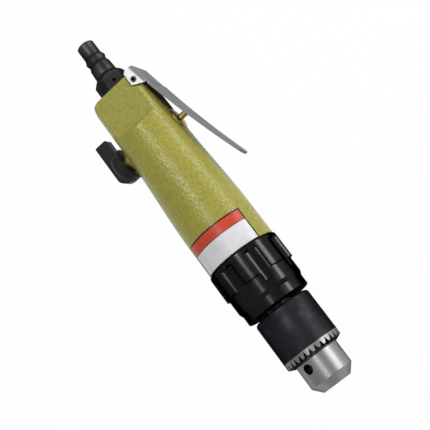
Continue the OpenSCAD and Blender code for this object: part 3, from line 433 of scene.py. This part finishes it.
def plated_sheet(colours, sizes):
    """Plated sheet steel, brushed along the lever, dull and painted darker as shade on its folds and on the
    edges ahead of the ears.
    """
    finish = Finish("plated_sheet")
    brush = finish.noise(scale=260.0, detail=4.0, roughness=0.65, stretch=(0.05, 1.0, 1.0))
    cloud = finish.noise(scale=60.0, detail=3.0)
    tone = finish.mix(finish.spread(brush), shade(colours.sheet, 0.85), colours.sheet)
    plate = finish.mix(finish.remap(cloud, 0.55, 0.75, high=0.3), tone, shade(colours.sheet, 0.8))
    facing = finish.facing()
    aside = finish.math("ABSOLUTE", facing["Z"])
    ahead = finish.math("GREATER_THAN", finish.axes()["X"], -sizes.ear_front)
    # The cut edges ahead of the ears are rough as sheared steel, and also painted darker as shade.
    edge_on = finish.math("GREATER_THAN", finish.math("MAXIMUM", aside, facing["X"]), 0.5)
    dull_shaded_edge = finish.product(edge_on, ahead)
    # Painted shade: the folds between the ears and the plate are made dull and painted darker.
    leaning = finish.remap(aside, 0.985, 0.9995, low=1.0, high=0.0)
    dull_shaded_fold = finish.product(finish.remap(aside, 0.04, 0.12), leaning)
    plate_with_fold_shade = finish.mix(dull_shaded_fold, plate, shade(colours.sheet, 0.55))
    dull = finish.math("MAXIMUM", finish.product(dull_shaded_edge, 0.8), finish.product(dull_shaded_fold, 0.85))
    finish.set(base_color=finish.mix(dull_shaded_edge, plate_with_fold_shade, shade(colours.sheet, 0.6)), metallic=1.0,
               specular_tint=(0.14, 0.14, 0.146),
               roughness=finish.math("MAXIMUM", finish.spread(brush, 0.34, 0.44), dull))
    return finish.relief(brush, depth=0.00001, strength=0.2)


def black_plating(name, tone, edge, roughness):
    """Black plated or tempered steel with a fine grain."""
    finish = Finish(name)
    grain = finish.noise(scale=500.0, detail=4.0, roughness=0.6)
    cloud = finish.noise(scale=90.0, detail=3.0)
    finish.set(base_color=finish.mix(finish.remap(cloud, 0.4, 0.75), tone, shade(tone, 2.0)), metallic=1.0,
               specular_tint=grey(0.2), roughness=finish.spread(grain, roughness - 0.06, roughness + 0.08))
    return finish.relief(grain, depth=0.00004, strength=0.12, edge=edge)


def machined_brass(colours, sizes):
    """Brass with turning marks and a little tarnish."""
    finish = Finish("machined_brass")
    rings = finish.noise(scale=80.0, detail=3.0, roughness=0.6, stretch=(1.0, 40.0, 1.0))
    tarnish = finish.noise(scale=220.0, detail=4.0, roughness=0.6)
    tone = finish.mix(finish.spread(rings), shade(colours.brass, 0.85), colours.brass)
    dark = finish.remap(tarnish, 0.5, 0.75, high=0.6)
    finish.set(base_color=finish.mix(dark, tone, shade(colours.brass, 0.45)), metallic=1.0,
               roughness=finish.spread(tarnish, 0.2, 0.34))
    return finish.relief(rings, depth=0.00003, strength=0.3, edge=sizes.edge * 0.5)


def moulded_plastic(name, tone, edge, roughness):
    """Moulded plastic or rubber with a fine spark texture."""
    finish = Finish(name)
    spark = finish.noise(scale=1400.0, detail=3.0, roughness=0.6)
    cloud = finish.noise(scale=80.0, detail=3.0)
    finish.set(base_color=finish.mix(finish.remap(cloud, 0.4, 0.7), tone, shade(tone, 1.6)),
               roughness=finish.spread(spark, roughness - 0.06, roughness + 0.08), specular_ior_level=0.2)
    return finish.relief(spark, depth=0.00006, strength=0.4, edge=edge)


def ground_metal(name, tone, roughness):
    """Ground or honed metal."""
    finish = Finish(name)
    grind = finish.noise(scale=300.0, detail=3.0, roughness=0.6, stretch=(6.0, 1.0, 1.0))
    finish.set(base_color=finish.mix(finish.spread(grind), shade(tone, 0.8), tone), metallic=1.0,
               roughness=finish.spread(grind, roughness - 0.05, roughness + 0.07))
    return finish.relief(grind, depth=0.00002, strength=0.3)


def vane_laminate():
    """Brown cloth laminate of the vanes."""
    finish = Finish("vane_laminate")
    weave = finish.noise(scale=900.0, stretch=(1.0, 3.0, 3.0))
    cloth = finish.mix(finish.remap(weave, 0.35, 0.65), LAMINATE_WARP, LAMINATE_WEFT)
    finish.set(base_color=cloth, roughness=0.6)
    return finish.relief(weave, depth=0.00003, strength=0.4)


def decal_film(colours, sizes, radius):
    """Blank decal: a pale field and a coloured band inside a dark rim, with a thin line between them."""
    finish = Finish("decal_film")
    place = finish.axes()
    rim = sizes.decal_rim
    band_front = sizes.decal_back - rim - sizes.decal_band
    around = finish.product(finish.math("ARCTAN2", place["Y"], place["Z"]), radius)
    behind = finish.product(place["X"], -1.0)
    across = finish.math("LESS_THAN", finish.math("ABSOLUTE", around), sizes.decal_span / 2.0 * radius - rim)
    along = finish.product(finish.math("LESS_THAN", behind, sizes.decal_back - rim),
                           finish.math("GREATER_THAN", behind, sizes.decal_front + rim * 0.5))
    band = finish.math("GREATER_THAN", behind, band_front)
    line = finish.product(finish.math("LESS_THAN", behind, band_front + rim * 0.4), band)
    fade = finish.noise(scale=180.0, detail=4.0, roughness=0.6)
    pale = finish.mix(finish.remap(fade, 0.4, 0.8), colours.decal_field, shade(colours.decal_field, 0.86))
    tinted = finish.mix(finish.remap(fade, 0.4, 0.7), colours.decal_band, shade(colours.decal_band, 0.8))
    printed = finish.mix(line, finish.mix(band, pale, tinted), INK)
    finish.set(base_color=finish.mix(finish.product(across, along), INK, printed),
               roughness=finish.spread(fade, 0.28, 0.38), specular_ior_level=0.2)
    return finish.relief(finish.noise(scale=500.0), depth=0.00003, strength=0.2)


def floor_paper():
    """White paper, seen as an even glow with a faint shadow by the camera and in reflections."""
    finish = Finish("floor_paper")
    tone = finish.spread(finish.noise(scale=30.0, detail=3.0), 0.82, 0.86)
    finish.set(base_color=finish.mix(tone, BLACK, WHITE), roughness=0.9)
    glow = finish.add("ShaderNodeEmission", {"Strength": 1.0})
    rays = finish.add("ShaderNodeLightPath").outputs
    mirrored = finish.math("MAXIMUM", rays["Is Glossy Ray"], rays["Is Transmission Ray"])
    seen = finish.math("MAXIMUM", rays["Is Camera Ray"], mirrored)
    layers = {0: finish.product(seen, FLOOR_GLOW), 1: finish.shader.outputs[0], 2: glow.outputs[0]}
    blend = finish.add("ShaderNodeMixShader", layers)
    finish.feed(finish.tree.nodes["Material Output"].inputs["Surface"], blend.outputs[0])
    return finish.material


# Pieces


def new_object(name, mesh, material):
    """Makes an object of a finished bmesh."""
    data = bpy.data.meshes.new(name)
    mesh.to_mesh(data)
    mesh.free()
    data.materials.append(material)
    made = bpy.data.objects.new(name, data)
    bpy.context.scene.collection.objects.link(made)
    return made


def new_piece(name, mesh, body, material):
    """Makes a piece of a finished bmesh, smooth except across its sharp edges, and hangs it on a body."""
    bmesh.ops.recalc_face_normals(mesh, faces=mesh.faces)
    piece = new_object(name, mesh, material)
    piece.data.shade_smooth()
    piece.data.set_sharp_from_angle(angle=math.radians(SHARP))
    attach(piece, body)
    return piece


class DrillOperator(bpy.types.Operator):
    """What the drill's operators share"""

    bl_options = {"REGISTER", "UNDO"}

    @property
    def colours(self):
        """The colours in the panel."""
        return bpy.context.scene.drill_finishes

    @property
    def sizes(self):
        """The sizes in the panel."""
        return bpy.context.scene.drill_sizes


class DRILL_OT_handle(DrillOperator):
    """Gives the handle its hammered enamel"""

    bl_idname = "drill.handle"
    bl_label = "Handle"

    def execute(self, context):
        paint(hammered_enamel(self.colours, self.sizes), "handle_housing")
        return {"FINISHED"}


class DRILL_OT_gear_housing(DrillOperator):
    """Gives the gear housing its gloss enamel"""

    bl_idname = "drill.gear_housing"
    bl_label = "Gear housing"

    def execute(self, context):
        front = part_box("gear_housing")[1].x
        paint(gloss_enamel(self.colours, self.sizes, front), "gear_housing")
        return {"FINISHED"}


class DRILL_OT_chuck(DrillOperator):
    """Gives the chuck's sleeve, nose and jaws their steels"""

    bl_idname = "drill.chuck"
    bl_label = "Chuck"

    def execute(self, context):
        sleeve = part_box("chuck_sleeve")[1]
        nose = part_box("chuck_body")[1]
        paint(chuck_sleeve_finish(self.colours, self.sizes, sleeve.x, sleeve.z), "chuck_sleeve")
        paint(turned_steel(self.colours, self.sizes, nose.z), "chuck_body")
        paint(ground_metal("hard_steel", self.colours.steel, roughness=0.3),
              "chuck_nut", "jaw_1", "jaw_2", "jaw_3")
        screw = black_plating("tempered_screw", TEMPERED_STEEL, self.sizes.edge, roughness=0.34)
        paint(screw, "chuck_screw")
        return {"FINISHED"}


class DRILL_OT_lever(DrillOperator):
    """Gives the throttle lever its brushed plating"""

    bl_idname = "drill.lever"
    bl_label = "Throttle lever"

    def execute(self, context):
        paint(plated_sheet(self.colours, self.sizes), "throttle_lever")
        return {"FINISHED"}


class DRILL_OT_spring_pin(DrillOperator):
    """Makes the lever's rolled spring pin, with its slot"""

    bl_idname = "drill.spring_pin"
    bl_label = "Spring pin"

    def execute(self, context):
        low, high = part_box("lever_pin")
        centre = (low + high) / 2.0
        outer = (high.x - low.x) / 2.0
        inner = outer * PIN_BORE_SHARE
        slot = self.sizes.pin_slot
        mesh = bmesh.new()
        corners = [mesh.verts.new((centre.x + r, centre.y, z)) for r, z in (
            (inner, low.z), (outer, low.z), (outer, high.z), (inner, high.z))]
        wall = mesh.faces.new(corners)
        bmesh.ops.rotate(mesh, verts=mesh.verts, cent=centre, matrix=Matrix.Rotation(slot / 2.0, 3, "Z"))
        bmesh.ops.spin(mesh, geom=[wall, *wall.edges, *wall.verts], cent=centre, axis=(0, 0, 1),
                       angle=math.tau - slot, steps=PIN_STEPS, use_merge=False)
        bmesh.ops.remove_doubles(mesh, verts=mesh.verts, dist=MERGE)
        bmesh.ops.holes_fill(mesh, edges=[e for e in mesh.edges if e.is_boundary], sides=len(corners))
        material = black_plating("spring_steel", SPRING_STEEL, edge=0.0, roughness=0.3)
        pin = new_piece("spring_pin", mesh, "handle", material)
        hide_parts("lever_pin")
        return {"FINISHED"}


class DRILL_OT_valves(DrillOperator):
    """Gives the throttle and reverse valves their brass"""

    bl_idname = "drill.valves"
    bl_label = "Valves"

    def execute(self, context):
        paint(machined_brass(self.colours, self.sizes),
              "valve_bush", "valve_stem", "reverse_bush", "reverse_spool")
        return {"FINISHED"}


class DRILL_OT_valve_spring(DrillOperator):
    """Makes the valve spring from the CAD spring's mesh"""

    bl_idname = "drill.valve_spring"
    bl_label = "Valve spring"

    def execute(self, context):
        solid = NODES["valve_spring"]
        mesh = bmesh.new()
        mesh.from_mesh(solid.data)
        mesh.transform(solid.matrix_world)
        bmesh.ops.remove_doubles(mesh, verts=mesh.verts, dist=MERGE)
        wire = ground_metal("spring_wire", GROUND_STEEL, roughness=0.28)
        spring = new_piece("coil_spring", mesh, "handle", wire)
        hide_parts("valve_spring")
        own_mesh(spring)
        return {"FINISHED"}


class DRILL_OT_knob(DrillOperator):
    """Gives the reverse knob and its screw their finishes"""

    bl_idname = "drill.knob"
    bl_label = "Reverse knob"

    def execute(self, context):
        plastic = moulded_plastic("knob_plastic", self.colours.knob, self.sizes.edge, roughness=0.48)
        paint(plastic, "reverse_knob")
        paint(ground_metal("screw_steel", SCREW_STEEL, roughness=0.3), "knob_screw")
        return {"FINISHED"}


class DRILL_OT_inlet(DrillOperator):
    """Gives the inlet plug its black plating"""

    bl_idname = "drill.inlet"
    bl_label = "Inlet plug"

    def execute(self, context):
        plating = black_plating("plug_plating", self.colours.plating, self.sizes.edge, roughness=0.44)
        paint(plating, "inlet_plug")
        return {"FINISHED"}


class DRILL_OT_inner_pieces(DrillOperator):
    """Gives the motor, gears, bearings and seals their finishes"""

    bl_idname = "drill.inner_pieces"
    bl_label = "Inner pieces"

    def execute(self, context):
        paint(ground_metal("ground_steel", GROUND_STEEL, roughness=0.28),
              "ring_gear", "planet_gear_1", "planet_gear_2", "planet_gear_3", "planet_pins",
              "spindle_outer_races", "spindle_inner_races", "spindle_balls", "bearing_spacer",
              "rotor_outer_races", "rotor_inner_races", "rotor_balls", "rotor", "cylinder_dowels",
              "inlet_screen")
        paint(ground_metal("oiled_steel", OILED_STEEL, roughness=0.4), "spindle")
        paint(ground_metal("honed_iron", HONED_IRON, roughness=0.4),
              "motor_front_plate", "motor_rear_plate", "motor_cylinder")
        paint(moulded_plastic("seal_rubber", SEAL_RUBBER, edge=0.0, roughness=0.62),
              "spindle_seal", "bush_seal", "stem_seal", "inlet_seal")
        paint(vane_laminate(), "vanes")
        return {"FINISHED"}


class DRILL_OT_decal(DrillOperator):
    """Makes the blank decal on the handle's front part"""

    bl_idname = "drill.decal"
    bl_label = "Blank decal"

    def execute(self, context):
        sizes = self.sizes
        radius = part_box("handle_housing")[1].y
        mesh = bmesh.new()
        ends = [mesh.verts.new((-station, 0.0, radius + DECAL_LIFT))
                for station in (sizes.decal_front, sizes.decal_back)]
        edge = mesh.edges.new(ends)
        bmesh.ops.rotate(mesh, verts=mesh.verts, cent=(0, 0, 0),
                         matrix=Matrix.Rotation(-sizes.decal_span / 2.0, 3, "X"))
        bmesh.ops.spin(mesh, geom=[edge, *ends], cent=(0, 0, 0), axis=(1, 0, 0), angle=sizes.decal_span,
                       steps=DECAL_STEPS, use_merge=False)
        bmesh.ops.recalc_face_normals(mesh, faces=mesh.faces)
        bmesh.ops.solidify(mesh, geom=mesh.faces[:], thickness=-sizes.decal_film)
        new_piece("blank_decal", mesh, "handle", decal_film(self.colours, sizes, radius))
        return {"FINISHED"}


# Studio


def standing(place, right, up, back):
    """The matrix of a camera or lamp at a place, with its own right, up and back."""
    return Matrix.Translation(place) @ Matrix((right, up, back)).transposed().to_4x4()


def level(back):
    """The direction nearest the spindle's axis that is square to another direction."""
    return (Vector((1.0, 0.0, 0.0)) - back.x * back).normalized()


class DRILL_OT_stage(DrillOperator):
    """Makes the floor, the lights and the camera"""

    bl_idname = "drill.stage"
    bl_label = "Studio"

    def execute(self, context):
        scene = context.scene
        studio = scene.drill_studio
        scene.view_settings.view_transform = "Standard"
        self.floor()
        self.sky(scene, studio)
        for lamp in LAMPS:
            self.lamp(scene, lamp, getattr(studio, lamp.power), Vector(studio.aim))
        self.camera(scene, studio)
        return {"FINISHED"}

    def floor(self):
        """Lays the white paper close under the drill."""
        mesh = bmesh.new()
        bmesh.ops.create_grid(mesh, x_segments=1, y_segments=1, size=FLOOR_REACH)
        bmesh.ops.translate(mesh, verts=mesh.verts, vec=(0.0, 0.0, CAD_BOX[0].z - FLOOR_GAP))
        floor = new_object("floor", mesh, floor_paper())

    def sky(self, scene, studio):
        """Makes the even light from all round."""
        scene.world = bpy.data.worlds.new("studio_sky")
        scene.world.use_nodes = True
        light = scene.world.node_tree.nodes["Background"]
        light.inputs["Color"].default_value = (*WHITE, 1.0)
        light.inputs["Strength"].default_value = studio.sky

    def lamp(self, scene, lamp, watts, aim):
        """Makes a panel of light that faces the drill, with its width along the spindle."""
        data = bpy.data.lights.new(lamp.name, "AREA")
        data.shape = "RECTANGLE"
        data.size, data.size_y = lamp.size
        data.energy = watts
        made = bpy.data.objects.new(lamp.name, data)
        scene.collection.objects.link(made)
        back = (Vector(lamp.place) - aim).normalized()
        along = level(back)
        made.matrix_world = standing(lamp.place, along, back.cross(along), back)

    def camera(self, scene, studio):
        """Makes the camera, turned past its aim by the offset and then rolled."""
        data = bpy.data.cameras.new("camera")
        data.lens = studio.lens
        data.sensor_width = SENSOR
        data.clip_start, data.clip_end = VIEW_RANGE
        camera = bpy.data.objects.new("camera", data)
        scene.collection.objects.link(camera)
        sight = Vector(studio.camera) - Vector(studio.aim)
        back = sight.normalized()
        nose = level(back)
        back = (sight - back.cross(nose) * studio.offset).normalized()
        nose = (nose - nose.dot(back) * back).normalized()
        lever = back.cross(nose)
        c, s = math.cos(studio.roll), math.sin(studio.roll)
        camera.matrix_world = standing(studio.camera, c * nose + s * lever, c * lever - s * nose, back)
        scene.camera = camera


PIECES = (
    DRILL_OT_handle, DRILL_OT_gear_housing, DRILL_OT_chuck, DRILL_OT_lever, DRILL_OT_spring_pin,
    DRILL_OT_valves, DRILL_OT_valve_spring, DRILL_OT_knob, DRILL_OT_inlet, DRILL_OT_inner_pieces,
    DRILL_OT_decal, DRILL_OT_stage)
GROUPS = {"drill_finishes": DrillFinishes, "drill_sizes": DrillSizes, "drill_studio": DrillStudio}


class DRILL_PT_panel(bpy.types.Panel):
    """Lists the drill's settings and operators"""

    bl_idname = "DRILL_PT_panel"
    bl_label = "Air Drill"
    bl_space_type = "VIEW_3D"
    bl_region_type = "UI"
    bl_category = "Air Drill"

    def draw(self, context):
        for name in GROUPS:
            group = getattr(context.scene, name)
            box = self.layout.box()
            for key in group.bl_rna.properties.keys():
                if key not in {"rna_type", "name"}:
                    box.prop(group, key)
        for piece in PIECES:
            self.layout.operator(piece.bl_idname)


CLASSES = (*GROUPS.values(), *PIECES, DRILL_PT_panel)


def register():
    """Adds the classes and the settings."""
    for made in CLASSES:
        bpy.utils.register_class(made)
    for key, group in GROUPS.items():
        setattr(bpy.types.Scene, key, bpy.props.PointerProperty(type=group))


def unregister():
    """Takes the settings and the classes away again."""
    for key in GROUPS:
        delattr(bpy.types.Scene, key)
    for made in reversed(CLASSES):
        bpy.utils.unregister_class(made)


def main():
    """Dresses the drill."""
    register()
    for piece in PIECES:
        group, name = piece.bl_idname.split(".")
        getattr(getattr(bpy.ops, group), name)()


if __name__ == "__main__":
    main()
